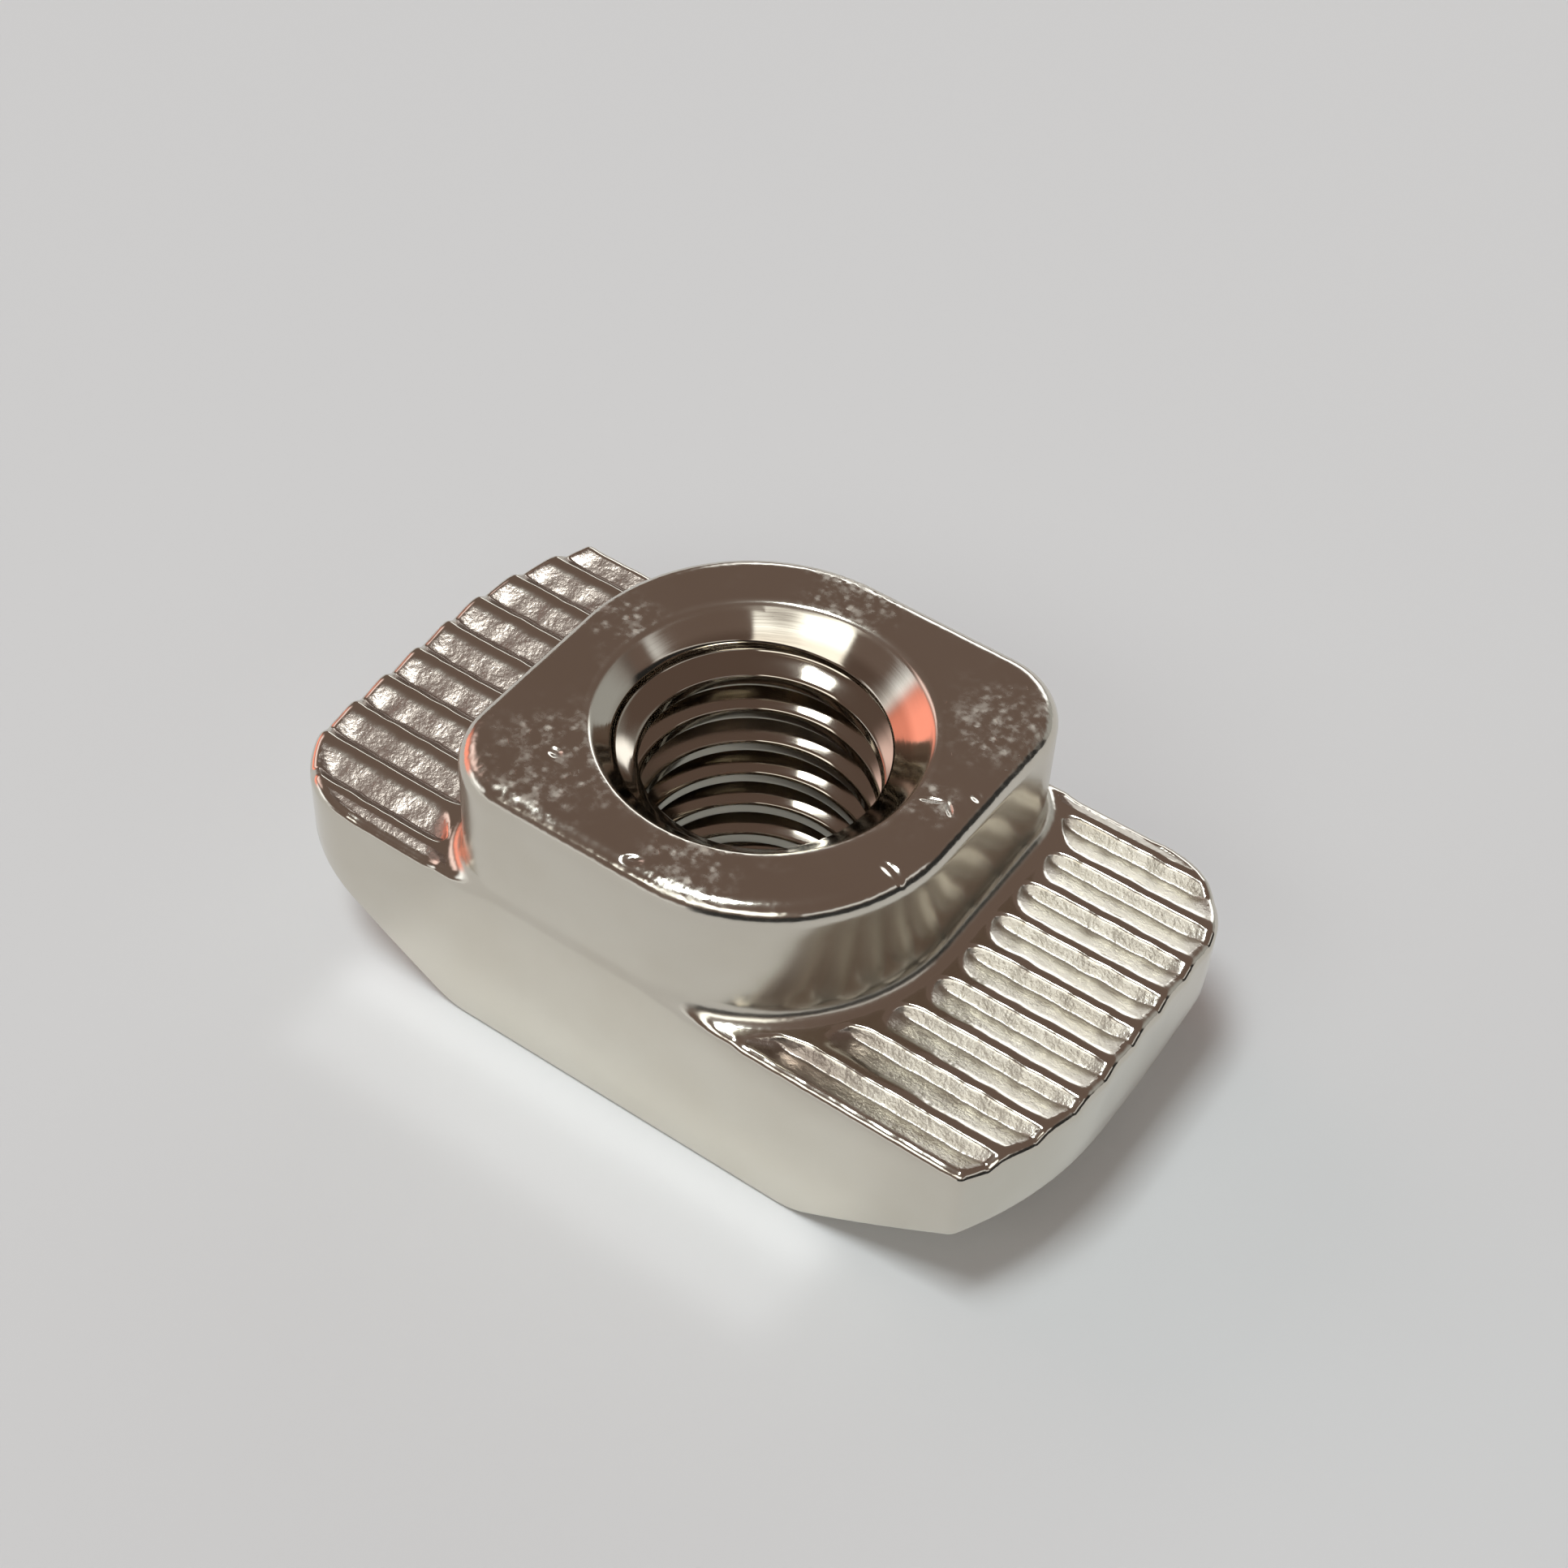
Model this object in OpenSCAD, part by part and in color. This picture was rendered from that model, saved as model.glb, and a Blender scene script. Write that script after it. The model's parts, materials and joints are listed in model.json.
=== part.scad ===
// Slot nut with a hammer head: it drops into the slot of an aluminium profile, turns a quarter
// turn, and its two serrated wings then grip the slot's lips from inside.
// X runs along the head, Y across it, and Z up along the thread. The origin is on the thread's
// axis, at the flat underside.

/* [Head] */
// Length of the head, which spans the slot once the nut has turned
head_l = 18.4; // [17:0.1:21]
// Width of the head, which drops through the slot's opening
head_w = 9.8; // [9.6:0.1:10.4]
// Height of the ridges' crests on the wings above the underside
wing_h = 4.4; // [3.6:0.1:5]
// Radius of the two diagonal corners that are cut so that the head can turn
turn_r = 7.5; // [6.5:0.1:8.2]
// Distance of that round from the middle of the end, sideways
turn_start = 1.1; // [0.6:0.1:1.6]
// Radius of the other two corners of the head
head_corner_r = 2.1; // [1:0.1:2.6]
// Height and width of the bevel round the wings' top edge
head_bevel = 0.15; // [0.05:0.05:0.3]

/* [Underside] */
// Radius from the thread's axis at which the underside begins to rise
foot_r = 6.6; // [6:0.1:7.4]
// Angle at which the underside rises towards the ends
rise_angle = 40; // [25:1:45]

/* [Neck] */
// Width of the neck, which turns between the slot's lips
neck_w = 9.7; // [8.8:0.1:9.8]
// Height of the neck's top above the underside
neck_h = 7.6; // [6.5:0.1:9]
// Radius of the two diagonal corners of the neck that let it turn
neck_turn_r = 4.4; // [3.6:0.1:4.8]
// Radius of the other two corners of the neck
neck_corner_r = 1.8; // [1:0.1:2.4]
// Height and width of the bevel round the neck's top edge
neck_bevel = 0.3; // [0.1:0.05:0.5]

/* [Serrations] */
// Distance from one ridge to the next
ridge_pitch = 1.04; // [0.9:0.02:1.3]
// Width of the flat crest along the top of a ridge
crest_w = 0.2; // [0.1:0.02:0.3]
// Sideways run of a ridge's steep flank
steep_run = 0.24; // [0.1:0.02:0.4]
// Depth of the valleys below the crests
valley_depth = 0.24; // [0.1:0.02:0.5]
// Sideways place of the crest that lies nearest to the middle of the wing
crest_shift = 0.25; // [0:0.05:0.5]
// Smooth ground between the neck's wall and the ends of the valleys
neck_gap = 0.4; // [0.2:0.05:0.8]

/* [Thread] */
// Diameter of the hole inside the thread's crests
bore_d = 5; // [4:0.1:5.4]
// Diameter of the countersunk mouth on the neck
mouth_d = 7; // [6.2:0.1:7.6]
// Diameter of the small countersink on the underside
foot_mouth_d = 6.2; // [5.8:0.1:7]
// Rise of the thread in one turn
thread_pitch = 1; // [0.8:0.05:1.25]
// Depth of the thread's groove; a shallow groove leaves more than half of the hole's wall
thread_depth = 0.36; // [0.2:0.02:0.4]
// Height of the groove's middle above the underside, where it first passes the +X side
groove_start = 0.38; // [0:0.02:0.98]
// Straight stretches in one turn of the groove
turn_steps = 20; // [16:4:28]

/* [Hidden] */
over = 1;
head_size = [head_l, head_w];
neck_size = [neck_w, neck_w];
head_turn_at = [head_l / 2 - turn_r, -turn_start];
neck_turn_at = [neck_w / 2 - neck_turn_r, neck_turn_r - neck_w / 2];
ridge_reach = ceil(head_w / 2 / ridge_pitch) + 1;
mouth_depth = (mouth_d - bore_d) / 2;
foot_mouth_depth = (foot_mouth_d - bore_d) / 2;
groove_root = thread_pitch / 25;
groove_mouth = groove_root + 2 * thread_depth * tan(30);
groove_r = bore_d / 2 + thread_depth;
inner_r = bore_d / 2 - (thread_pitch - groove_mouth) / 3;
inner_half = groove_root / 2 + (groove_r - inner_r) * tan(30);
groove_turns = ceil(neck_h / thread_pitch) + 2;
$fn = 96;

// A long bar along X with a bevel on both of its top edges
module bevelled_bar(length, w, h, bevel) {
    rotate([90, 0, 90])
        linear_extrude(length, center = true)
            polygon([[-w / 2, 0], [w / 2, 0], [w / 2, h - bevel], [w / 2 - bevel, h],
                     [bevel - w / 2, h], [-w / 2, h - bevel]]);
}

// A round bar that stands up and is bevelled at height h
module bevelled_round(r, h, bevel) {
    rotate_extrude()
        polygon([[0, -2 * over], [r, -2 * over], [r, h - bevel], [r - bevel, h],
                 [r - bevel, h + 2 * over], [0, h + 2 * over]]);
}

// What is cut from the +X -Y corner of a block to round it about a centre
module outer_corner(size, centre, r, h, bevel) {
    difference() {
        translate([centre.x, -size.y / 2 - over, -over])
            cube([size.x / 2 - centre.x + over, size.y / 2 + over + centre.y, h + 2 * over]);
        translate(centre) bevelled_round(r, h, bevel);
    }
}

// Corners of one kind lie half a turn apart; mirrored ones lie in the other two quarters
module corner_pair(size, centre, r, h, bevel, mirrored = 0) {
    for (turn = [0, 180])
        rotate(turn) mirror([0, mirrored, 0]) outer_corner(size, centre, r, h, bevel);
}

// The form that head and neck share: a bevelled block with two wide and two small corners
module turning_block(size, h, bevel, wide_at, wide_r, small_r) {
    difference() {
        intersection() {
            bevelled_bar(size.x + 2 * over, size.y, h, bevel);
            rotate(90) bevelled_bar(size.y + 2 * over, size.x, h, bevel);
        }
        corner_pair(size, wide_at, wide_r, h, bevel);
        corner_pair(size, [size.x / 2 - small_r, small_r - size.y / 2], small_r, h, bevel,
                    mirrored = 1);
    }
}

// The underside rises as one cone about the thread, so both ends get a curved ramp
module head_block() {
    intersection() {
        turning_block(head_size, wing_h, head_bevel, head_turn_at, turn_r, head_corner_r);
        cylinder(h = wing_h, r1 = foot_r, r2 = foot_r + wing_h / tan(rise_angle));
    }
}

module neck_block(grow = 0) {
    turning_block(neck_size + [2, 2] * grow, neck_h, neck_bevel, neck_turn_at,
                  neck_turn_r + grow, neck_corner_r + grow);
}

// One valley of the +X wing: a long gentle slope down, then a steep flank up to the next crest
module valley_bar() {
    rotate([90, 0, 90])
        linear_extrude(head_l)
            polygon([[crest_w / 2, 0], [ridge_pitch - crest_w / 2 - steep_run, -valley_depth],
                     [ridge_pitch - crest_w / 2, 0], [ridge_pitch - crest_w / 2, over],
                     [crest_w / 2, over]]);
}

module wing_valleys() {
    difference() {
        for (i = [-ridge_reach : ridge_reach - 1])
            translate([0, crest_shift + i * ridge_pitch, wing_h]) valley_bar();
        neck_block(grow = neck_gap);
    }
}

// A round hole with a mouth that opens at 45 degrees above and below
module threaded_bore() {
    translate([0, 0, -over]) cylinder(h = neck_h + 2 * over, d = bore_d);
    translate([0, 0, neck_h - mouth_depth])
        cylinder(h = mouth_depth + over, d1 = bore_d, d2 = mouth_d + 2 * over);
    translate([0, 0, -over])
        cylinder(h = foot_mouth_depth + over, d1 = foot_mouth_d + 2 * over, d2 = bore_d);
}

// The groove's section after so many turns: a flat root, and flanks that open at 60 degrees
// towards the axis, past the crests
function groove_section(turns) =
    [for (p = [[inner_r, -inner_half], [groove_r, -groove_root / 2],
               [groove_r, groove_root / 2], [inner_r, inner_half]])
        [p[0] * cos(360 * turns), p[0] * sin(360 * turns),
         groove_start + turns * thread_pitch + p[1]]];

// One right-hand groove that winds up through the hole and leaves it at both ends
module thread_groove() {
    steps = groove_turns * turn_steps;
    polyhedron(
        points = [for (i = [0 : steps]) each groove_section((i + 0.5) / turn_steps - 1)],
        faces = [
            [3, 2, 1, 0],
            for (i = [0 : steps - 1], k = [0 : 3])
                let (a = 4 * i + k, b = 4 * i + (k + 1) % 4)
                    each [[b + 4, a + 4, a], [b, b + 4, a]],
            [for (k = [0 : 3]) 4 * steps + k]
        ]);
}

// But for its thread, the nut is the same after half a turn, so both wings get the same valleys
module slot_nut() {
    color([0.72, 0.70, 0.66])
        difference() {
            union() {
                head_block();
                neck_block();
            }
            for (turn = [0, 180]) rotate(turn) wing_valleys();
            threaded_bore();
            thread_groove();
        }
}

slot_nut();
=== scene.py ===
# %% [markdown]
# # A hammer-head slot nut, nickel plated
# The nut drops into the slot of an aluminium profile, turns a quarter turn, and grips the slot's
# lips with two serrated wings. It is one piece of steel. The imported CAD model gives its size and
# its main faces. Here it is modelled again with what a maker sees from close by: rounded edges,
# a real thread, valleys with round ends, and a plated skin.
#
# The first cell loads the CAD model as a fixed frame. Lengths below are in millimetres, and one
# factor turns them into Blender's metres when the mesh is made.

# %% Load the frame and read the main sizes from it
import json
import math

import bmesh
import bpy
from mathutils import Matrix, Vector, noise


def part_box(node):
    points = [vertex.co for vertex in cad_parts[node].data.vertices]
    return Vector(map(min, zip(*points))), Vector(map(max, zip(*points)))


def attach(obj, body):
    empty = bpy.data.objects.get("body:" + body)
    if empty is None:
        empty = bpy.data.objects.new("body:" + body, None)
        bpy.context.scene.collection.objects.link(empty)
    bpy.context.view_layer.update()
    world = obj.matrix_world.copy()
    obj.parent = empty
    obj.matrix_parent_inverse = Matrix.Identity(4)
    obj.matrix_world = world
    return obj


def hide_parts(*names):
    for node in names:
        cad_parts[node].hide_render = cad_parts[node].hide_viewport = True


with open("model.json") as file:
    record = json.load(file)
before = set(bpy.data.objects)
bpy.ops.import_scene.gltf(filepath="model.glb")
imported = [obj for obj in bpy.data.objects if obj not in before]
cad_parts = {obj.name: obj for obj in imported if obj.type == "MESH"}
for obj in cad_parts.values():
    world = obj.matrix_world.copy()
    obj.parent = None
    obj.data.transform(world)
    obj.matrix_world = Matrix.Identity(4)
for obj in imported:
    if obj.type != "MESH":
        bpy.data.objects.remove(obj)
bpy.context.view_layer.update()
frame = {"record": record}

MM = 0.001
low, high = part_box("slot_nut")
head_l, head_w, neck_h = [(high[k] - low[k]) / MM for k in range(3)]
mounts = {mount["name"]: mount for mount in frame["record"]["mounts"]}
crest_r = mounts["thread"]["dims"]["r_mm"]
wing_h = mounts["wing_grip_right"]["pos_m"][2] / MM
print(f"head {head_l:.2f} x {head_w:.2f} mm, wings at {wing_h:.2f} mm, neck top at {neck_h:.2f} mm")

# %% [markdown]
# ## Camera
# The camera comes first, so that every later step can be looked at through it. It stands in
# front of the nut, to the right, and looks down at about 47 degrees, as one looks at a small
# part on a bench. It is placed by its turn, height and distance from a point beside the thread.

# %% Place the camera
view_turn, view_height, view_roll = 32.4, 47.46, 3.47     # degrees
view_distance = 60.84
aim = Vector((-1.125, 2.709, 2.652))

turn, lift, roll = (math.radians(a) for a in (view_turn, view_height, view_roll))
back = Vector((math.sin(turn) * math.cos(lift), -math.cos(turn) * math.cos(lift),
               math.sin(lift)))
side = Vector((0, 0, 1)).cross(back).normalized()
level_up = back.cross(side)
right = math.cos(roll) * side + math.sin(roll) * level_up
up = math.cos(roll) * level_up - math.sin(roll) * side

camera = bpy.data.objects.new("camera", bpy.data.cameras.new("camera"))
camera.data.lens = 63.3
camera.data.clip_start = 0.001
camera.data.clip_end = 10
camera.matrix_world = (Matrix.Translation((aim + view_distance * back) * MM)
                       @ Matrix((right, up, back)).transposed().to_4x4())
bpy.context.scene.collection.objects.link(camera)
bpy.context.scene.camera = camera
print("camera at", [round(v, 2) for v in aim + view_distance * back], "mm")

# %% [markdown]
# ## The outlines of head and neck
# Seen from above, the nut looks the same after half a turn. So only the right half is drawn, and
# a turned copy gives the left half. Each outline is straight stretches and round corners: the
# wide corners let the nut turn clockwise in its slot, and the small ones stop it there.
#
# One way to model the nut is to cut blocks with booleans and bevel the result. A bright plated
# skin shows every bad normal of such a mesh. So here each surface is a grid of quads whose lines
# follow the real edges. That is more work, and it gives clean reflections.

# %% Sizes of the outlines, and the neck's wall
wide_r, wide_start = 7.5, 1.1         # the head's cut corners, and where they start
small_r = 2.1                         # the head's other corners
neck_half, neck_wide_r, neck_small_r = 4.85, 4.4, 1.8
rim_r = 0.22                          # rounding of the wings' top edge
foot_r, top_r = 0.4, 0.48             # roundings at the neck's foot and at its top edge

head_half = head_w / 2
wide_x = head_l / 2 - wide_r
small_x, small_y = head_l / 2 - small_r, head_half - small_r
neck_wide = neck_half - neck_wide_r
neck_small = neck_half - neck_small_r


def neck_wall(x, y):
    """The nearest place on the neck's wall, on the right half, and the direction out of it."""
    if y < -neck_wide and x > neck_wide:
        centre, r = Vector((neck_wide, -neck_wide)), neck_wide_r
    elif y > neck_small and x > neck_small:
        centre, r = Vector((neck_small, neck_small)), neck_small_r
    elif -neck_wide <= y <= neck_small:
        return Vector((neck_half, y)), Vector((1, 0))
    else:
        way = math.copysign(1, y)
        return Vector((x, way * neck_half)), Vector((0, way))
    out = (Vector((x, y)) - centre).normalized()
    return centre + r * out, out


def head_end(y, inset):
    """Where a line at this y meets the head's end, moved in by inset, and the way out there."""
    if y < -wide_start:
        out = Vector((math.sqrt((wide_r - inset) ** 2 - (y + wide_start) ** 2), y + wide_start))
        return wide_x + out.x, out.normalized()
    if y > small_y:
        out = Vector((math.sqrt(max(0, (small_r - inset) ** 2 - (y - small_y) ** 2)), y - small_y))
        return small_x + out.x, out.normalized()
    return head_l / 2 - inset, Vector((1, 0))


def wing_start(y):
    """Where a line at this y leaves the rounding at the neck's foot."""
    if y < -neck_wide:
        return neck_wide + math.sqrt((neck_wide_r + foot_r) ** 2 - (y + neck_wide) ** 2)
    if y > neck_small:
        return neck_small + math.sqrt((neck_small_r + foot_r) ** 2 - (y - neck_small) ** 2)
    return neck_half + foot_r


print(f"a wing runs from x {wing_start(0):.2f} to {head_end(0, rim_r)[0]:.2f} mm in the middle")

# %% [markdown]
# ## The serrations
# On each wing a die has pressed valleys that run along the head. In section they are a sawtooth:
# a narrow flat crest, a long gentle slope down, then a steep flank up to the next crest. By the
# neck each valley ends in a round nose, and towards the wing's end it gets shallower.
#
# The wing's top is a height field: a formula gives the depth at each place. The grid has lines
# along the valleys, close together where the section bends, so the crests stay crisp. No die
# presses twice alike, so a smooth noise makes each valley waver a little along its length.

# %% The depth of the valleys, and the lines of the grid
ridge_pitch, crest_w, steep_run, valley_depth = 1.04, 0.16, 0.24, 0.24
crest_shift = 0.25                    # from the head's middle to the nearest crest
waver_l, waver, waver_depth = 0.4, 0.03, 0.1   # its length, sideways shift, share of the depth
gentle_run = ridge_pitch - crest_w - steep_run
last_crest = crest_shift + ridge_pitch * math.floor((head_half - crest_shift) / ridge_pitch)
strip_share = 0.3                     # the strip beyond the last crest counts as this much valley
nose_l = 0.5                          # length of a valley's round nose
fade_l, fade = 0.5, 0.4               # at the wing's end a valley loses this share of its depth


def soft_min(a, b, k):
    """The smaller of two values, with a rounded change from one to the other."""
    h = max(k - abs(a - b), 0) / k
    return min(a, b) - h * h * k / 4


def soft_max(a, b, k):
    """The larger of two values, with a rounded change from one to the other."""
    return -soft_min(-a, -b, k)


def valley(x, y):
    """How deep the right wing's top lies below its crests, and the share of a full valley."""
    wave = noise.noise(Vector((x / waver_l, y / ridge_pitch, 0)))
    along = (y + waver * wave - crest_shift) % ridge_pitch - crest_w / 2
    share = soft_min(along / gentle_run, (gentle_run + steep_run - along) / steep_run, 0.22)
    u = min(max((x - wing_start(y)) / nose_l, 0), 1)
    share -= 1 - math.sqrt(1 - (1 - u) ** 2)
    share = soft_max(share, 0, 0.12) * min(1, 8 * u)
    v = min(max((head_end(y, rim_r)[0] - x) / fade_l, 0), 1)
    deep = 1 + waver_depth * noise.noise(Vector((x / waver_l, 3 * y / ridge_pitch, 5)))
    return valley_depth * share * deep * (1 - fade * (1 - v) ** 2), share


def wing_lines():
    """The y of each grid line on a wing, in order."""
    edge = head_half - rim_r
    bends = [0, 0.02, 0.045, 0.07, 0.09, 0.11, 0.135, 0.165, 0.22, 0.3, 0.39, 0.48, 0.57, 0.64,
             0.68, 0.695, 0.71, 0.725, 0.74, 0.76, 0.8, 0.85, 0.9, 0.93, 0.95, 0.97, 0.99]
    lines = [crest_shift + n * ridge_pitch + bend for n in range(-6, 6) for bend in bends]
    lines += [small_y + (small_r - rim_r) * math.sin(math.radians(a)) for a in range(48, 90, 6)]
    kept = [-edge]
    for y in sorted(lines):
        if y - kept[-1] > 0.015 and y < edge - 0.008:
            kept.append(y)
    return kept + [edge]


lines = wing_lines()
steps = [(1 - math.cos(math.pi * k / 46)) / 2 for k in range(47)]
steps = [0.55 * k / 46 + 0.45 * s for k, s in enumerate(steps)]
print(f"{len(lines)} grid lines of {len(steps)} points on each wing")

# %% [markdown]
# ## Collecting points and faces
# All surfaces go into one list of points and faces. Neighbouring surfaces are made to share
# their border points, and points in the same place are merged at the end, so the nut is one
# closed skin.

# %% Helpers that collect the skin
points, faces, valley_shares = [], [], []


def add_sheet(rings, shares=None):
    """Add a sheet of quads between rings that all have the same number of points."""
    first, wide = len(points), len(rings[0])
    for k, ring in enumerate(rings):
        points.extend(tuple(p) for p in ring)
        valley_shares.extend(shares[k] if shares else [0.0] * wide)
    for i in range(len(rings) - 1):
        for k in range(wide - 1):
            a = first + i * wide + k
            faces.append((a, a + 1, a + wide + 1, a + wide))


def add_turned_copy():
    """Copy all that is there by half a turn about the thread's axis."""
    first = len(points)
    points.extend([(-x, -y, z) for x, y, z in points])
    valley_shares.extend(valley_shares[:first])
    faces.extend([tuple(k + first for k in face) for face in faces[:]])


def around(ring):
    """The angle order of a closed ring's points, with no point twice."""
    seen = {(round(p[0], 4), round(p[1], 4)): tuple(p) for p in ring}
    return sorted(seen.values(), key=lambda p: math.atan2(p[1], p[0]))


def add_joint_strip(outer, inner):
    """Join two closed rings in one plane with triangles, whatever their numbers of points."""
    outer, inner = around(outer), around(inner)
    first = len(points)
    points.extend(outer + inner)
    valley_shares.extend([0.0] * (len(outer) + len(inner)))

    def angle(ring, k):
        p = ring[k % len(ring)]
        return math.atan2(p[1], p[0]) + 2 * math.pi * (k // len(ring))

    i = j = 0
    while i < len(outer) or j < len(inner):
        a, b = first + i % len(outer), first + len(outer) + j % len(inner)
        if j >= len(inner) or (i < len(outer) and angle(outer, i + 1) < angle(inner, j + 1)):
            faces.append((a, first + (i + 1) % len(outer), b))
            i += 1
        else:
            faces.append((a, first + len(outer) + (j + 1) % len(inner), b))
            j += 1


# %% [markdown]
# ## Stations along the outline
# A station is a place on the outline, from the middle of the front to the middle of the back.
# On a wing, the top's border is moved in by the rim's rounding. In front and behind, the neck
# almost reaches the head's side, so the foot's rounding and the rim's rounding run into each
# other there. `share` says how much of both is left.

# %% The stations
side_gap = head_half - neck_half
least_share = side_gap / (foot_r + rim_r)


def narrow_stations(way, count):
    """Stations where there is no wing: the place between both roundings, and their share."""
    centre_x = neck_wide if way < 0 else neck_small
    r = neck_wide_r if way < 0 else neck_small_r
    places = [(Vector((centre_x * k / 8, way * (head_half - rim_r * least_share))), least_share)
              for k in range(8)]
    for k in range(count + 1):
        share = least_share + (1 - least_share) * (k / count) ** 2
        y = head_half - rim_r * share
        reach = (r + foot_r * share) ** 2 - (y - neck_half + r) ** 2
        places.append((Vector((centre_x + math.sqrt(max(0, reach)), way * y)), share))
    return places


front = narrow_stations(-1, 24)
behind = narrow_stations(1, 24)[::-1]
edge = head_half - rim_r


def row(y):
    """The x of the points of one grid line on the wing."""
    x_in, x_out = wing_start(y), head_end(y, rim_r)[0]
    return [x_in + (x_out - x_in) * step for step in steps]


print(f"front {len(front)}, wing {len(lines)}, back {len(behind)} stations")

# %% [markdown]
# ## Top of the wings, with the foot's rounding
# `height` gives the top's height from the distance to the neck and to the rim, with the rounding
# that each of them brings. The valleys are then cut below it.

# %% Heights


def round_drop(distance, r):
    """How far a rounding of radius r lies below its flat, at this distance from its wall."""
    return r - math.sqrt(max(0, r * r - (r - min(distance, r)) ** 2))


def height(x, y, rim_gap):
    """Height of the wing's top, with both roundings and without valleys."""
    wall, out = neck_wall(x, y)
    gap = max(0, (Vector((x, y)) - wall).dot(out))
    return wing_h + round_drop(gap, foot_r) - round_drop(rim_gap, rim_r)


fillet_turns = [k / 8 for k in range(9)]
rim_turns = [k / 7 for k in range(8)]


def foot_ring_points(place, share):
    """From the neck's wall to the foot's toe, at one station."""
    wall, out = neck_wall(*place)
    last = math.acos(1 - share)
    found = []
    for t in fillet_turns:
        spot = wall + out * foot_r * (1 - math.cos(last * t))
        found.append((*spot, height(*spot, head_half - abs(spot.y))))
    return found


def rim_points(place, way, out, share, drop):
    """From the wing's top over its rounded rim to the wall, at one station."""
    first = math.asin(1 - share)
    found = []
    for t in rim_turns:
        turned = first + (math.pi / 2 - first) * t
        spot = place + way * rim_r * (math.sin(turned) - math.sin(first))
        z = height(*spot, rim_r * (1 - math.sin(turned)))
        found.append((*spot, z - drop))
    return found


# %% Neck's foot, wing top and rim
neck_places = front[:-1] + [(Vector((wing_start(y), y)), 1.0) for y in lines] + behind[1:]
foot_rings = [foot_ring_points(*place) for place in neck_places]
add_sheet(foot_rings)

wing, shares = [], []
for y in lines:
    depths = [valley(x, y) for x in row(y)]
    wing.append([(x, y, wing_h - depth) for x, (depth, _) in zip(row(y), depths)])
    beyond = strip_share if y > last_crest + crest_w / 2 else 0.0
    shares.append([max(share, beyond) for _, share in depths])
add_sheet(wing, shares)

south, north = Vector((0, -1)), Vector((0, 1))
rim = [(place, south, share, 0.0) for place, share in front[:-1]]
rim += [(Vector((x, -edge)), south, 1.0, valley(x, -edge)[0]) for x in row(-edge)]
end_out = head_end(-edge, rim_r)[1]
corner = Vector((row(-edge)[-1], -edge))
rim += [(corner, south.slerp(end_out, k / 6), 1.0, rim[-1][3]) for k in range(1, 6)]
rim += [(Vector((row(y)[-1], y)), head_end(y, rim_r)[1], 1.0, valley(row(y)[-1], y)[0])
        for y in lines]
rim += [(Vector((x, edge)), north, 1.0, valley(x, edge)[0]) for x in row(edge)[-2::-1]]
rim += [(place, north, share, 0.0) for place, share in behind[1:]]
rim_rings = [rim_points(place, out, out, share, drop) for place, out, share, drop in rim]
add_sheet(rim_rings)
print(f"{len(points)} points so far")

# %% [markdown]
# ## The head's side, its lower edge and the underside
# The underside is flat in the middle and rises towards both ends like a cone, so that the nut
# can tip into its slot. Its border follows from where that cone meets the head's side.

# %% Lower half
rise_r, rise_angle = 6.6, 40
lower_r = 0.12                        # rounding of the lower edge
pad_r = 3.4                           # a ring around the lower mouth


def underside(r):
    """Height of the underside at this distance from the thread's axis."""
    return soft_max(0, math.tan(math.radians(rise_angle)) * (r - rise_r), 0.2)


def lower_points(outer, out):
    """From the rim down the side, round the lower edge and in under the head."""
    foot = Vector(outer[:2])
    corner_z = underside(foot.length)
    inner = foot - out * lower_r
    start, middle = (*foot, corner_z + lower_r), (*foot, corner_z)
    finish = (*inner, underside(inner.length))
    wall_z = [outer[2] + (start[2] - outer[2]) * t for t in (0, 0.25, 0.5, 0.75)]
    found = [(*foot, z) for z in wall_z]
    for t in (0, 0.25, 0.5, 0.75, 1):
        found.append(tuple((1 - t) ** 2 * a + 2 * t * (1 - t) * b + t * t * c
                           for a, b, c in zip(start, middle, finish)))
    out_r = inner.length
    ray = inner / out_r
    heel = min(rise_r, out_r - 0.1)
    for r in (heel + 0.6 * (out_r - heel), heel + 0.3 * (out_r - heel), heel + 0.1 * (out_r - heel),
              heel, heel - 0.12, heel - 0.3, pad_r + 0.4):
        found.append((*(ray * r), underside(r)))
    return found


lower_rings = [lower_points(ring[-1], station[1]) for ring, station in zip(rim_rings, rim)]
add_sheet(lower_rings)
print(f"the ends rise to {underside(Vector(rim_rings[len(rim) // 2][-1][:2]).length):.2f} mm")

# %% [markdown]
# ## The neck and its top
# The neck's wall is upright, its top edge is rounded, and the top is a flat ring around the
# countersink.

# %% Neck wall and top ring
top_ring_r = 3.75


def neck_points(place, foot_z):
    """From the neck's foot up its wall and in over its top, at one station."""
    wall, out = neck_wall(*place)
    wall_top = neck_h - top_r
    found = [(*wall, foot_z + (wall_top - foot_z) * t) for t in (0, 0.12, 0.3, 0.5, 0.7, 0.88)]
    for k in range(10):
        a = math.pi / 2 * k / 9
        found.append((*(wall - out * top_r * (1 - math.cos(a))), wall_top + top_r * math.sin(a)))
    border = Vector(found[-1][:2])
    for k in range(1, 13):
        found.append((*border.lerp(border.normalized() * top_ring_r, k / 12), neck_h))
    return found


neck_rings = [neck_points(place, ring[0][2]) for (place, _), ring in zip(neck_places, foot_rings)]
add_sheet(neck_rings)
add_turned_copy()
print(f"{len(points)} points with the left half")

# %% [markdown]
# ## Thread and countersinks
# The thread is an M6 thread with a pitch of 1 mm, right-hand. Its grid is skewed: each column
# starts a little higher than the one before, so the grid's lines run along the thread and its
# crests and roots stay sharp. The countersinks cut it off by taking the larger radius.

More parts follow.
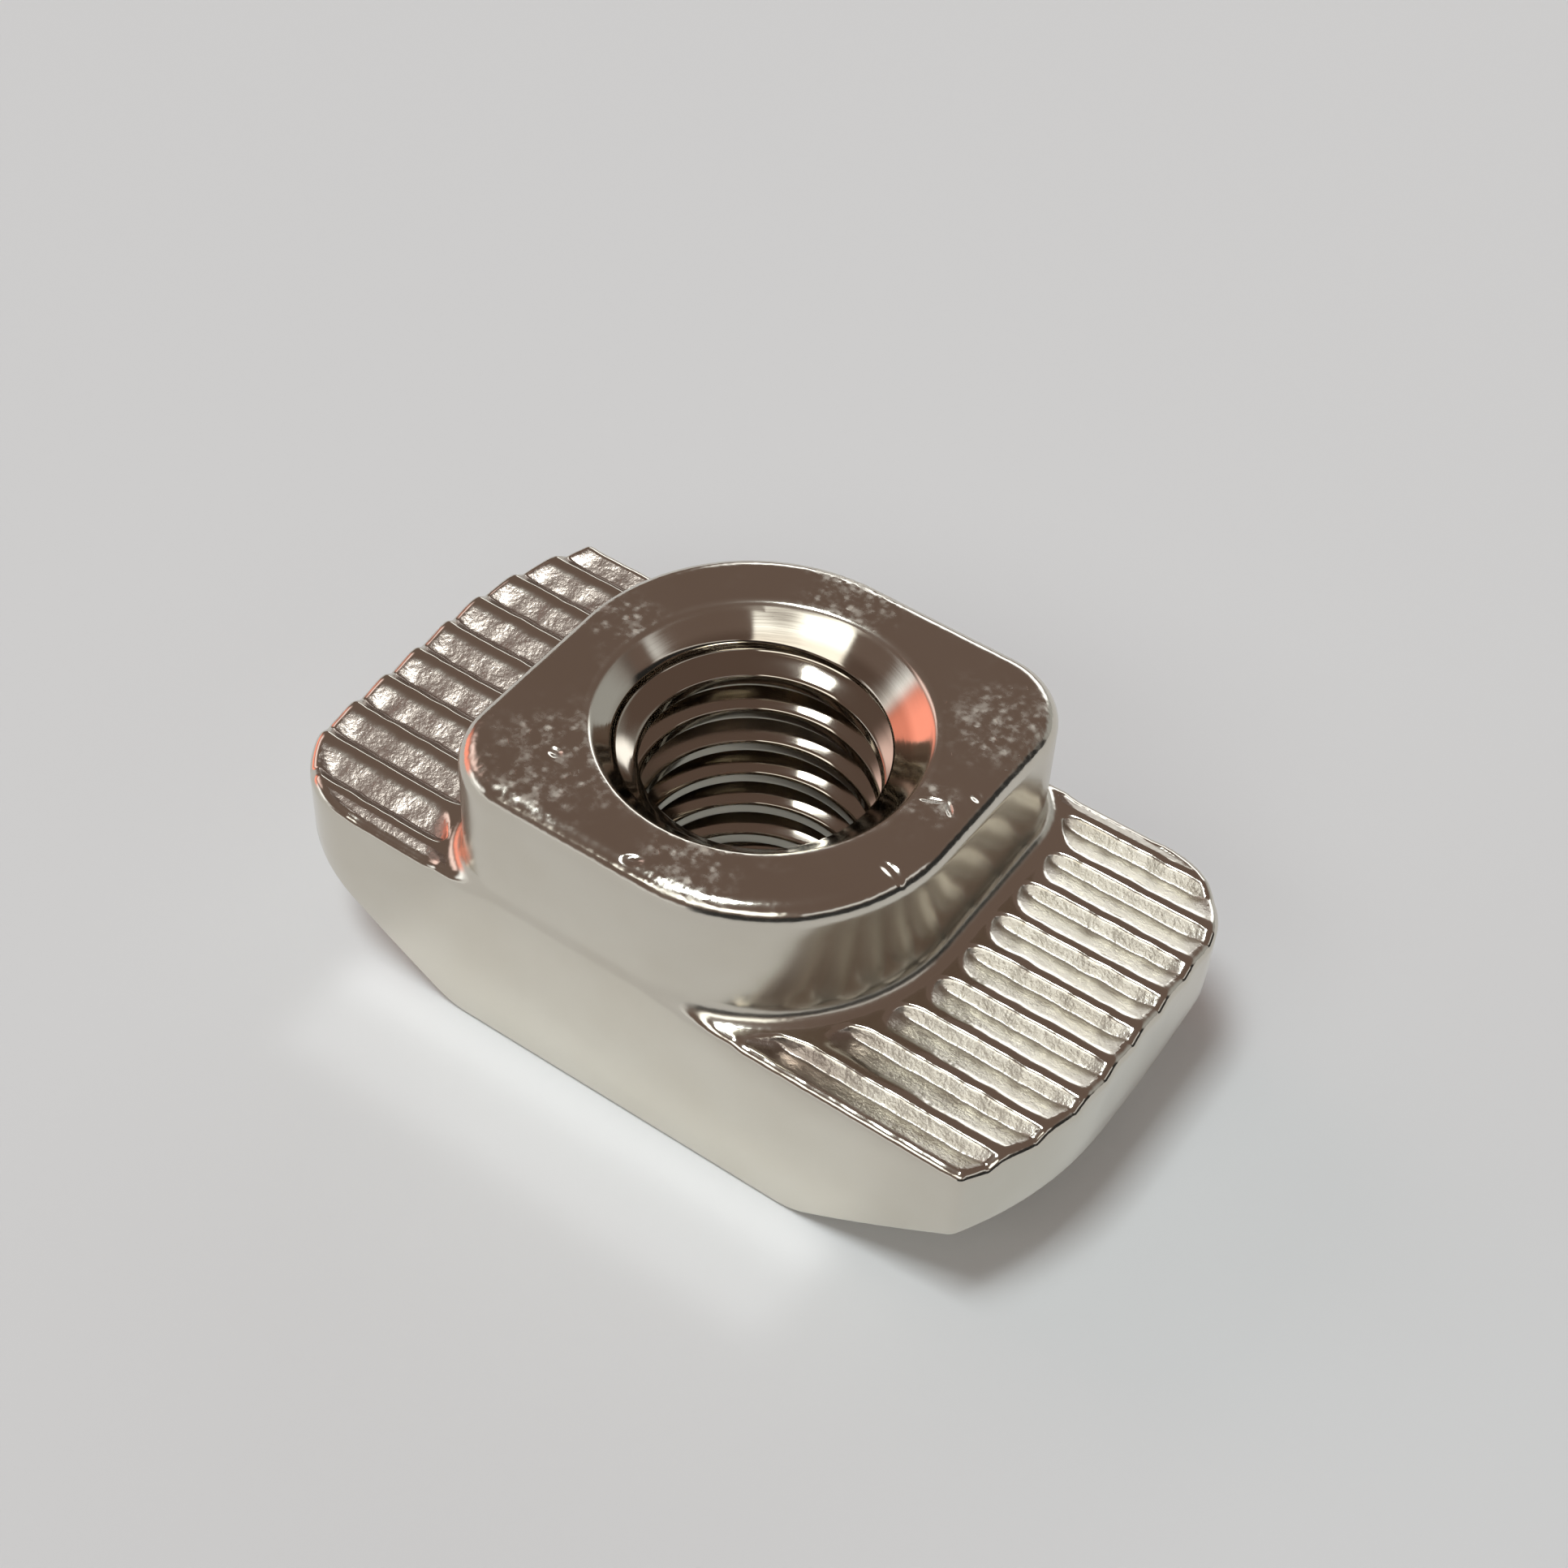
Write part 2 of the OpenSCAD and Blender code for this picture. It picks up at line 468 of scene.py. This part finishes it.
# %% The bore
pitch, root_r, root_w = 1.0, 3.0, 0.125
groove_start = 0.38                   # height of the groove's middle where it passes the +X side
mouth_r, lower_mouth_r = 3.5, 3.1
mouth_edge = 0.07                     # rounding of both mouths
columns = 180
flank_steps = [0, 0.035, 0.065, 0.1, 0.2, 0.3, 0.34, 0.375, 0.42]
profile = [-t for t in flank_steps[:0:-1]] + flank_steps + [0.5]


def thread_r(from_root):
    """Radius of the thread at this distance from the middle of its groove, in turns."""
    away = abs((from_root + 0.5) % 1 - 0.5) * pitch
    flank = root_r - (away - root_w / 2) / math.tan(math.radians(30))
    return soft_min(soft_max(flank, crest_r, 0.06), root_r, 0.08)


def bore_r(turned, z):
    """Radius of the hole: the thread, or a countersink where that is wider."""
    r = thread_r((z - groove_start) / pitch - turned / (2 * math.pi))
    r = soft_max(r, mouth_r - (neck_h - z), 0.05)
    return soft_max(r, lower_mouth_r - z, 0.05)


bore_low, bore_high = mouth_edge, neck_h - mouth_edge
turns = range(-2, int(neck_h / pitch) + 2)
bore = []
for k in range(columns + 1):
    turned = 2 * math.pi * k / columns
    column = []
    for n in turns:
        for t in profile:
            z = groove_start + (n + t + k / columns) * pitch
            z = min(max(z, bore_low), bore_high)
            r = bore_r(turned, z)
            column.append((r * math.cos(turned), r * math.sin(turned), z))
    bore.append(column)
add_sheet(bore)


def circle(r, z):
    """A closed ring of points, in step with the thread's columns."""
    return [(r * math.cos(2 * math.pi * k / columns), r * math.sin(2 * math.pi * k / columns), z)
            for k in range(columns + 1)]


add_sheet([[column[-1] for column in bore], circle(mouth_r - 0.03, neck_h - 0.035),
           circle(mouth_r + 0.02, neck_h - 0.008), circle(mouth_r + 0.09, neck_h)])
add_sheet([[column[0] for column in bore], circle(lower_mouth_r - 0.03, 0.035),
           circle(lower_mouth_r + 0.02, 0.008), circle(lower_mouth_r + 0.09, 0)])

top_border = [ring[-1] for ring in neck_rings]
top_border += [(-x, -y, z) for x, y, z in top_border]
add_joint_strip(top_border, circle(mouth_r + 0.09, neck_h))
low_border = [ring[-1] for ring in lower_rings]
low_border += [(-x, -y, z) for x, y, z in low_border]
add_joint_strip([(x, y, 0.0) for x, y, _ in low_border], circle(lower_mouth_r + 0.09, 0))
print(f"{len(points)} points in all")

# %% Make the mesh and merge the borders
mesh = bpy.data.meshes.new("nut")
mesh.from_pydata([tuple(c * MM for c in p) for p in points], [], faces)
valley_layer = mesh.attributes.new("valley_share", "FLOAT", "POINT")
valley_layer.data.foreach_set("value", valley_shares)
skin = bmesh.new()
skin.from_mesh(mesh)
bmesh.ops.remove_doubles(skin, verts=skin.verts, dist=0.002 * MM)
bmesh.ops.dissolve_degenerate(skin, edges=skin.edges, dist=0.0005 * MM)
bmesh.ops.recalc_face_normals(skin, faces=skin.faces)
open_edges = sum(len(edge.link_faces) != 2 for edge in skin.edges)
for face in skin.faces:
    face.smooth = True
print(f"{len(skin.verts)} points, {len(skin.faces)} faces, {open_edges} open edges, "
      f"volume {skin.calc_volume() / MM ** 3:.1f} mm3")
skin.to_mesh(mesh)
skin.free()
nut = bpy.data.objects.new("nut", mesh)
bpy.context.scene.collection.objects.link(nut)
smooth = nut.modifiers.new("even shading", "WEIGHTED_NORMAL")
smooth.keep_sharp = True
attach(nut, "root")
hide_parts("slot_nut")

# %% [markdown]
# ## Helpers for nodes
# A material is a small graph of nodes. These helpers keep the graph readable: each makes one
# node, sets its numbers and gives back its output.

# %% Node helpers
def math_node(tree, operation, *values):
    """A math node whose inputs are sockets or numbers; gives its output."""
    node = tree.nodes.new("ShaderNodeMath")
    node.operation = operation
    for socket, value in zip(node.inputs, values):
        if isinstance(value, (int, float)):
            socket.default_value = value
        else:
            tree.links.new(value, socket)
    return node.outputs[0]


def smooth_step(tree, value, start, end):
    """0 before start and 1 after end, with a smooth change; start may be the larger."""
    node = tree.nodes.new("ShaderNodeMapRange")
    node.interpolation_type = "SMOOTHSTEP"
    tree.links.new(value, node.inputs["Value"])
    node.inputs["From Min"].default_value = min(start, end)
    node.inputs["From Max"].default_value = max(start, end)
    node.inputs["To Min"].default_value = float(start > end)
    node.inputs["To Max"].default_value = float(start < end)
    return node.outputs["Result"]


def mixed(tree, share, first, second):
    """Mix two colours, each a socket or a tuple of three."""
    node = tree.nodes.new("ShaderNodeMix")
    node.data_type = "RGBA"
    tree.links.new(share, node.inputs["Factor"])
    for socket, colour in ((node.inputs[6], first), (node.inputs[7], second)):
        if isinstance(colour, tuple):
            socket.default_value = (*colour, 1)
        else:
            tree.links.new(colour, socket)
    return node.outputs[2]


# %% [markdown]
# ## Nickel plate
# Bright nickel is a warm grey mirror. A mirror has little colour of its own, so what tells metal
# from chrome-coloured plastic is how its surface bends and blurs the reflections. There are four
# finishes here, and they share one material, because they share one skin of plate:
#
# - the flats have soft waves from the forging, orange peel, and pits in some places;
# - the pressed valleys are satin, with a fine grain that sparkles;
# - the neck's wall has faint upright draw lines from the die, and is duller;
# - the thread and the countersinks were cut with a tool, so fine rings run round them.
#
# The mesh says how much of a point is valley. The other zones follow from height and from the
# distance to the thread's axis.

# %% Where each finish lies
nickel = bpy.data.materials.new("nickel_plate")
nickel.use_nodes = True
plate = nickel.node_tree
shader = plate.nodes["Principled BSDF"]
shader.inputs["Metallic"].default_value = 1
place = plate.nodes.new("ShaderNodeTexCoord").outputs["Object"]


def vector_node(tree, operation, vector, other, output="Vector"):
    """A vector math node on a socket and a fixed vector in metres or as plain factors."""
    node = tree.nodes.new("ShaderNodeVectorMath")
    node.operation = operation
    tree.links.new(vector, node.inputs[0])
    node.inputs[1].default_value = other
    return node.outputs[output]


in_valley = plate.nodes.new("ShaderNodeAttribute")
in_valley.attribute_name = "valley_share"
pressed = smooth_step(plate, in_valley.outputs["Fac"], 0.02, 0.15)
satin = smooth_step(plate, in_valley.outputs["Fac"], 0.1, 0.3)
axes = plate.nodes.new("ShaderNodeSeparateXYZ")
plate.links.new(place, axes.inputs[0])
level = math_node(plate, "DIVIDE", axes.outputs["Z"], MM)
flat_place = vector_node(plate, "MULTIPLY", place, (1, 1, 0))
axis_gap = vector_node(plate, "LENGTH", flat_place, (0, 0, 0), "Value")
axis_gap = math_node(plate, "DIVIDE", axis_gap, MM)
on_neck = smooth_step(plate, level, wing_h + 0.05, wing_h + 0.3)
below_edge = smooth_step(plate, level, neck_h - 0.1, neck_h - 0.5)
wall = math_node(plate, "MULTIPLY", math_node(plate, "MULTIPLY", on_neck, below_edge),
                 smooth_step(plate, axis_gap, 4.2, 4.5))
turned = smooth_step(plate, axis_gap, mouth_r + 0.06, mouth_r - 0.02)
# mask for the painted shade inside the threaded bore
bore_shade_zone = smooth_step(plate, axis_gap, root_r + 0.15, root_r - 0.05)
foot = math_node(plate, "MULTIPLY", smooth_step(plate, level, wing_h + 0.02, wing_h + 0.1),
                 smooth_step(plate, level, wing_h + 0.5, wing_h + 0.25))
mouth_gap = math_node(plate, "ABSOLUTE", math_node(plate, "SUBTRACT", axis_gap, mouth_r))
mouth_edge_zone = smooth_step(plate, mouth_gap, 0.16, 0.08)
slope = plate.nodes.new("ShaderNodeSeparateXYZ")
plate.links.new(plate.nodes.new("ShaderNodeNewGeometry").outputs["Normal"], slope.inputs[0])
cast = math_node(plate, "MULTIPLY", smooth_step(plate, slope.outputs["Z"], 0.1, 0.5),
                 math_node(plate, "SUBTRACT", 1.0, turned))


def noise_fac(tree, place, size_mm, detail, roughness=0.5):
    """A noise whose features are about size_mm wide."""
    node = tree.nodes.new("ShaderNodeTexNoise")
    tree.links.new(place, node.inputs["Vector"])
    node.inputs["Scale"].default_value = 1 / (size_mm * MM)
    node.inputs["Detail"].default_value = detail
    node.inputs["Roughness"].default_value = roughness
    return node.outputs["Fac"]


# %% [markdown]
# ## Pits
# Pits are small round hollows in the forging that the plate has followed. Cells of a Voronoi
# texture scatter them: each cell holds one pit, and the cell's random colour says how deep it
# is. They crowd together at some corners of the neck and are rare elsewhere.

# %% Pits that crowd in some places
pit_spots = [(-2.6, -3.3, 2.3), (1.0, -3.9, 1.5), (3.9, 2.8, 1.7), (3.9, 0.2, 0.9),
             (-0.6, 4.2, 1.6), (-3.9, 0.6, 1.2)]       # x, y and reach on the neck's top, in mm
crowd = smooth_step(plate, noise_fac(plate, place, 1.1, 1), 0.5, 0.7)
crowd = math_node(plate, "MULTIPLY", crowd, 0.3)
for x, y, spot_reach in pit_spots:
    gap = vector_node(plate, "DISTANCE", place, (x * MM, y * MM, neck_h * MM), "Value")
    near = smooth_step(plate, gap, spot_reach * MM, 0.3 * spot_reach * MM)
    crowd = math_node(plate, "MAXIMUM", crowd, near)

cells = plate.nodes.new("ShaderNodeTexVoronoi")
plate.links.new(place, cells.inputs["Vector"])
cells.inputs["Scale"].default_value = 1 / (0.22 * MM)
chance = plate.nodes.new("ShaderNodeSeparateColor")
plate.links.new(cells.outputs["Color"], chance.inputs[0])
hollow = smooth_step(plate, cells.outputs["Distance"], 0.55, 0.05)
hollow = math_node(plate, "MULTIPLY", hollow, smooth_step(plate, chance.outputs["Red"], 0.0, 0.9))
crowd = math_node(plate, "MULTIPLY", crowd, cast)
crowd = math_node(plate, "MULTIPLY", crowd, smooth_step(plate, level, neck_h - 0.25, neck_h - 0.05))
pits = math_node(plate, "MULTIPLY", hollow, crowd)

# %% [markdown]
# ## Dents
# Nuts are plated by the drumful and knock against each other there. Each dent is a soft oval
# hollow, and six of them are set on the neck's top, where such knocks are seen best.

# %% Dents from knocks against other nuts
dents = [(4.24, -1.72, 0.42, 0.17, -11), (4.52, 0.91, 0.17, 0.17, 0), (3.85, 0.27, 0.3, 0.09, 25),
         (4.27, 0.28, 0.24, 0.09, -50), (0.12, -4.47, 0.28, 0.16, 25), (-2.79, -3.16, 0.2, 0.16, 0)]
dent = None                           # x, y, half length, half width in mm, and turn in degrees
for x, y, half_l, half_w, turned_by in dents:
    fitted = plate.nodes.new("ShaderNodeMapping")
    fitted.vector_type = "TEXTURE"
    fitted.inputs["Location"].default_value = (x * MM, y * MM, neck_h * MM)
    fitted.inputs["Rotation"].default_value = (0, 0, math.radians(turned_by))
    fitted.inputs["Scale"].default_value = (half_l * MM, half_w * MM, MM)
    plate.links.new(place, fitted.inputs["Vector"])
    away = vector_node(plate, "LENGTH", fitted.outputs[0], (0, 0, 0), "Value")
    one = smooth_step(plate, away, 1.0, 0.2)
    dent = math_node(plate, "MAXIMUM", dent, one) if dent else one
print(f"{len(dents)} dents on the neck's top")

# %% [markdown]
# ## How rough, and what colour
# A zone is a number from 0 to 1, and each zone adds its own roughness. Satin valleys scatter the
# key lamp. On the left wing they look straight at its glow, and a render blows that up to white.
# So the left wing's satin is set smoother than the right wing's, and a darker tint paints shade
# on it. On a real nut both are the same, and this is a trick that keeps the grain visible.

# %% The plate's roughness and colour
grain = noise_fac(plate, place, 0.09, 2, 0.6)
smear = noise_fac(plate, place, 0.6, 3)
rough = math_node(plate, "MULTIPLY_ADD", smear, 0.12, 0.06)
right_wing = smooth_step(plate, axes.outputs["X"], 4 * MM, 6 * MM)
rough_satin = math_node(plate, "MULTIPLY_ADD", grain, 0.12, 0.24)
rough_satin = math_node(plate, "MULTIPLY_ADD", right_wing, 0.08, rough_satin)
rough_wall = math_node(plate, "MULTIPLY_ADD", smear, 0.06, 0.22)


def blended(tree, share, first, second):
    """first where share is 0 and second where it is 1."""
    return math_node(tree, "MULTIPLY_ADD", share, math_node(tree, "SUBTRACT", second, first), first)


blotch = smooth_step(plate, noise_fac(plate, place, 0.3, 3, 0.6), 0.4, 0.72)
blotch = math_node(plate, "MULTIPLY", blotch, crowd)
for zone, more in ((pits, 0.3), (blotch, 0.32), (turned, -0.03), (pressed, 0.04), (foot, 0.1),
                   (mouth_edge_zone, 0.07)):
    rough = math_node(plate, "MULTIPLY_ADD", zone, more, rough)
rough = blended(plate, wall, rough, rough_wall)
rough = blended(plate, satin, rough, rough_satin)
plate.links.new(rough, shader.inputs["Roughness"])

bright_tint, dull_tint = (0.70, 0.665, 0.585), (0.67, 0.63, 0.545)
# painted shade: both darker tints below stand in for shade, in the bore and on the left wing's
# valleys
bore_shade_tint, left_shade_tint = (0.48, 0.43, 0.36), (0.43, 0.37, 0.32)
stain = smooth_step(plate, noise_fac(plate, place, 2.4, 3), 0.3, 0.75)
tint = mixed(plate, stain, bright_tint, dull_tint)
# painted shade: the threaded bore gets a darker, browner tint, as the shade inside the hole
tint = mixed(plate, bore_shade_zone, tint, bore_shade_tint)
# painted shade: the left wing's satin valleys get a darker tint than the right wing's
left_shade_zone = math_node(plate, "MULTIPLY", satin, math_node(plate, "SUBTRACT", 1.0, right_wing))
tint = mixed(plate, left_shade_zone, tint, left_shade_tint)
plate.links.new(tint, shader.inputs["Base Color"])


# %% [markdown]
# ## Relief too fine for the mesh
# Orange peel, grain, pits, draw lines and turning rings are at most some hundredths of a
# millimetre high. Bump nodes bend the reflections as such relief does. Each height is given in
# millimetres, and its zone limits it.

# %% The plate's relief
def bump(tree, height, depth_mm, normal=None, strength=1):
    """Raise the surface by up to depth_mm where height is 1."""
    node = tree.nodes.new("ShaderNodeBump")
    node.inputs["Distance"].default_value = depth_mm * MM
    if isinstance(strength, (int, float)):
        node.inputs["Strength"].default_value = strength
    else:
        tree.links.new(strength, node.inputs["Strength"])
    tree.links.new(height, node.inputs["Height"])
    if normal:
        tree.links.new(normal, node.inputs["Normal"])
    return node.outputs["Normal"]


draw_lines = noise_fac(plate, vector_node(plate, "MULTIPLY", place, (1, 1, 0.1)), 0.7, 1)
rings = noise_fac(plate, vector_node(plate, "MULTIPLY", place, (0.04, 0.04, 1)), 0.05, 2)
normal = bump(plate, noise_fac(plate, place, 1.6, 1), 0.02)
normal = bump(plate, noise_fac(plate, place, 0.24, 1), 0.006, normal, cast)
normal = bump(plate, noise_fac(plate, place, 0.17, 1), 0.006, normal, pressed)
normal = bump(plate, noise_fac(plate, place, 0.2, 1), 0.02, normal, crowd)
normal = bump(plate, pits, -0.006, normal)
normal = bump(plate, dent, -0.04, normal)
normal = bump(plate, draw_lines, 0.004, normal, wall)
normal = bump(plate, rings, 0.0004, normal, turned)
grain_share = math_node(plate, "MULTIPLY_ADD", right_wing, 0.4, 0.5)
normal = bump(plate, grain, 0.018, normal, math_node(plate, "MULTIPLY", satin, grain_share))
plate.links.new(normal, shader.inputs["Normal"])
mesh.materials.append(nickel)

# %% [markdown]
# ## The bench
# A sheet of pale matt paper carries the nut. It is large enough to fill the view from any side,
# and it catches the shadow and the light that the nut throws.

# %% Floor
floor_reach = 0.6                     # metres from the middle to each side
paper_colour, paper_rough = (0.765, 0.78, 0.785), 0.9
floor_mesh = bpy.data.meshes.new("floor")
corners = [(-1, -1), (1, -1), (1, 1), (-1, 1)]
floor_mesh.from_pydata([(x * floor_reach, y * floor_reach, 0) for x, y in corners], [],
                       [(0, 1, 2, 3)])
floor = bpy.data.objects.new("floor", floor_mesh)
bpy.context.scene.collection.objects.link(floor)
paper = bpy.data.materials.new("paper")
paper.use_nodes = True
matt = paper.node_tree.nodes["Principled BSDF"]
matt.inputs["Base Color"].default_value = (*paper_colour, 1)
matt.inputs["Roughness"].default_value = paper_rough
floor_mesh.materials.append(paper)

# %% [markdown]
# ## Studio light
# Plated metal shows its surroundings more than its own colour. So the studio is built as a dome
# that the nut can mirror. The room is a dim warm brown. Into it go a handful of soft lights and
# cards, each a rounded patch with a name, a place and a colour. The key lamp hangs high, a little
# to the left and in front, and makes the shadow under the right end. The front window whitens
# the edges that face it. The right side stays dark, so the neck's wall gets its contrast. The
# dome is made of directions only, so nothing gets in the way.

# %% The dome
world = bpy.data.worlds.new("studio")
bpy.context.scene.world = world
world.use_nodes = True
tree = world.node_tree
split = tree.nodes.new("ShaderNodeSeparateXYZ")
tree.links.new(tree.nodes.new("ShaderNodeTexCoord").outputs["Generated"], split.inputs[0])
minus_y = math_node(tree, "MULTIPLY", split.outputs["Y"], -1)
bearing = math_node(tree, "DEGREES", math_node(tree, "ARCTAN2", split.outputs["X"], minus_y))
elevation = math_node(tree, "DEGREES", math_node(tree, "ARCSINE", split.outputs["Z"]))


def patch(middle, half, low, high, soft):
    """1 inside a patch of the dome: bearings from -Y towards +X, and heights, in degrees."""
    away = math_node(tree, "WRAP", math_node(tree, "SUBTRACT", bearing, middle), 180, -180)
    share = smooth_step(tree, math_node(tree, "ABSOLUTE", away), half + soft, half - soft)
    for start, end in ((low - soft, low + soft), (high + soft, high - soft)):
        share = math_node(tree, "MULTIPLY", share, smooth_step(tree, elevation, start, end))
    return share


room = (0.17, 0.12, 0.10)
lights = {                      # middle and half width in bearing, low and high, softness, colour
    "low wall, far right": (158, 24, -9, 22, 8, (0.42, 0.42, 0.41)),
    "low wall, right": (68, 66, -9, 22, 4, (0.03, 0.03, 0.03)),
    "low wall, front": (-36, 38, -9, 8, 3, (0.8, 0.8, 0.8)),
    "front window": (8, 35, 31, 46, 2, (2.3, 2.3, 2.2)),
    "right panel": (85, 32, 25, 32, 3, (0.9, 0.9, 0.9)),
    "far window": (-165, 22, 9, 23, 4, (2.2, 2.25, 2.3)),
    "left window": (-60, 14, 9, 23, 6, (1.6, 1.65, 1.7)),
    "pink glow, left": (-95, 17, 26, 42, 7, (1.4, 1.05, 1.0)),
    "terracotta card, left": (-90, 18, -9, 19, 7, (1.5, 0.52, 0.38)),
}
colour = room
for middle, half, low_edge, high_edge, soft, light in lights.values():
    colour = mixed(tree, patch(middle, half, low_edge, high_edge, soft), colour, light)

# The key lamp is a rectangle overhead, in slants: x and y for each unit of height.
key_middle, key_half, key_soft = (-0.14, -0.24), (0.12, 0.17), 0.03
key_light = (19.5, 21, 21.5)
key_share = smooth_step(tree, elevation, 30, 31)
for axis, middle, half in zip("XY", key_middle, key_half):
    slant = math_node(tree, "DIVIDE", split.outputs[axis], split.outputs["Z"])
    away = math_node(tree, "ABSOLUTE", math_node(tree, "SUBTRACT", slant, middle))
    inside = smooth_step(tree, away, half + key_soft, half - key_soft)
    key_share = math_node(tree, "MULTIPLY", key_share, inside)
colour = mixed(tree, key_share, colour, key_light)
tree.links.new(colour, tree.nodes["Background"].inputs["Color"])
bpy.context.scene.view_settings.view_transform = "Standard"
print(f"{len(lights)} soft lights and cards on the dome")

# %% [markdown]
# ## The streak in front
# The bright side of the nut throws light back onto the bench, as a streak in front of it. Path
# tracing finds such light slowly and with much noise. Two small lamps with narrow beams stand in
# for it: one for the light from the head's side, and a wider one for the light from the neck.

# %% Two lamps with narrow beams
beam_l, beam_gap, beam_shift, beam_z = 12.5, 0.05, -0.6, 25       # mm
beam_spread = 4                                                   # degrees
for name, reach_y, power in (("streak_near", 0.9, 0.42), ("streak_far", 2.8, 0.3)):
    beam = bpy.data.lights.new(name, "AREA")
    beam.shape = "RECTANGLE"
    beam.size, beam.size_y = beam_l * MM, reach_y * MM
    beam.spread = math.radians(beam_spread)
    beam.energy = power * beam.size * beam.size_y
    lamp = bpy.data.objects.new(name, beam)
    lamp.location = (beam_shift * MM, (-head_half - beam_gap - reach_y / 2) * MM, beam_z * MM)
    lamp.visible_camera = lamp.visible_glossy = False
    bpy.context.scene.collection.objects.link(lamp)
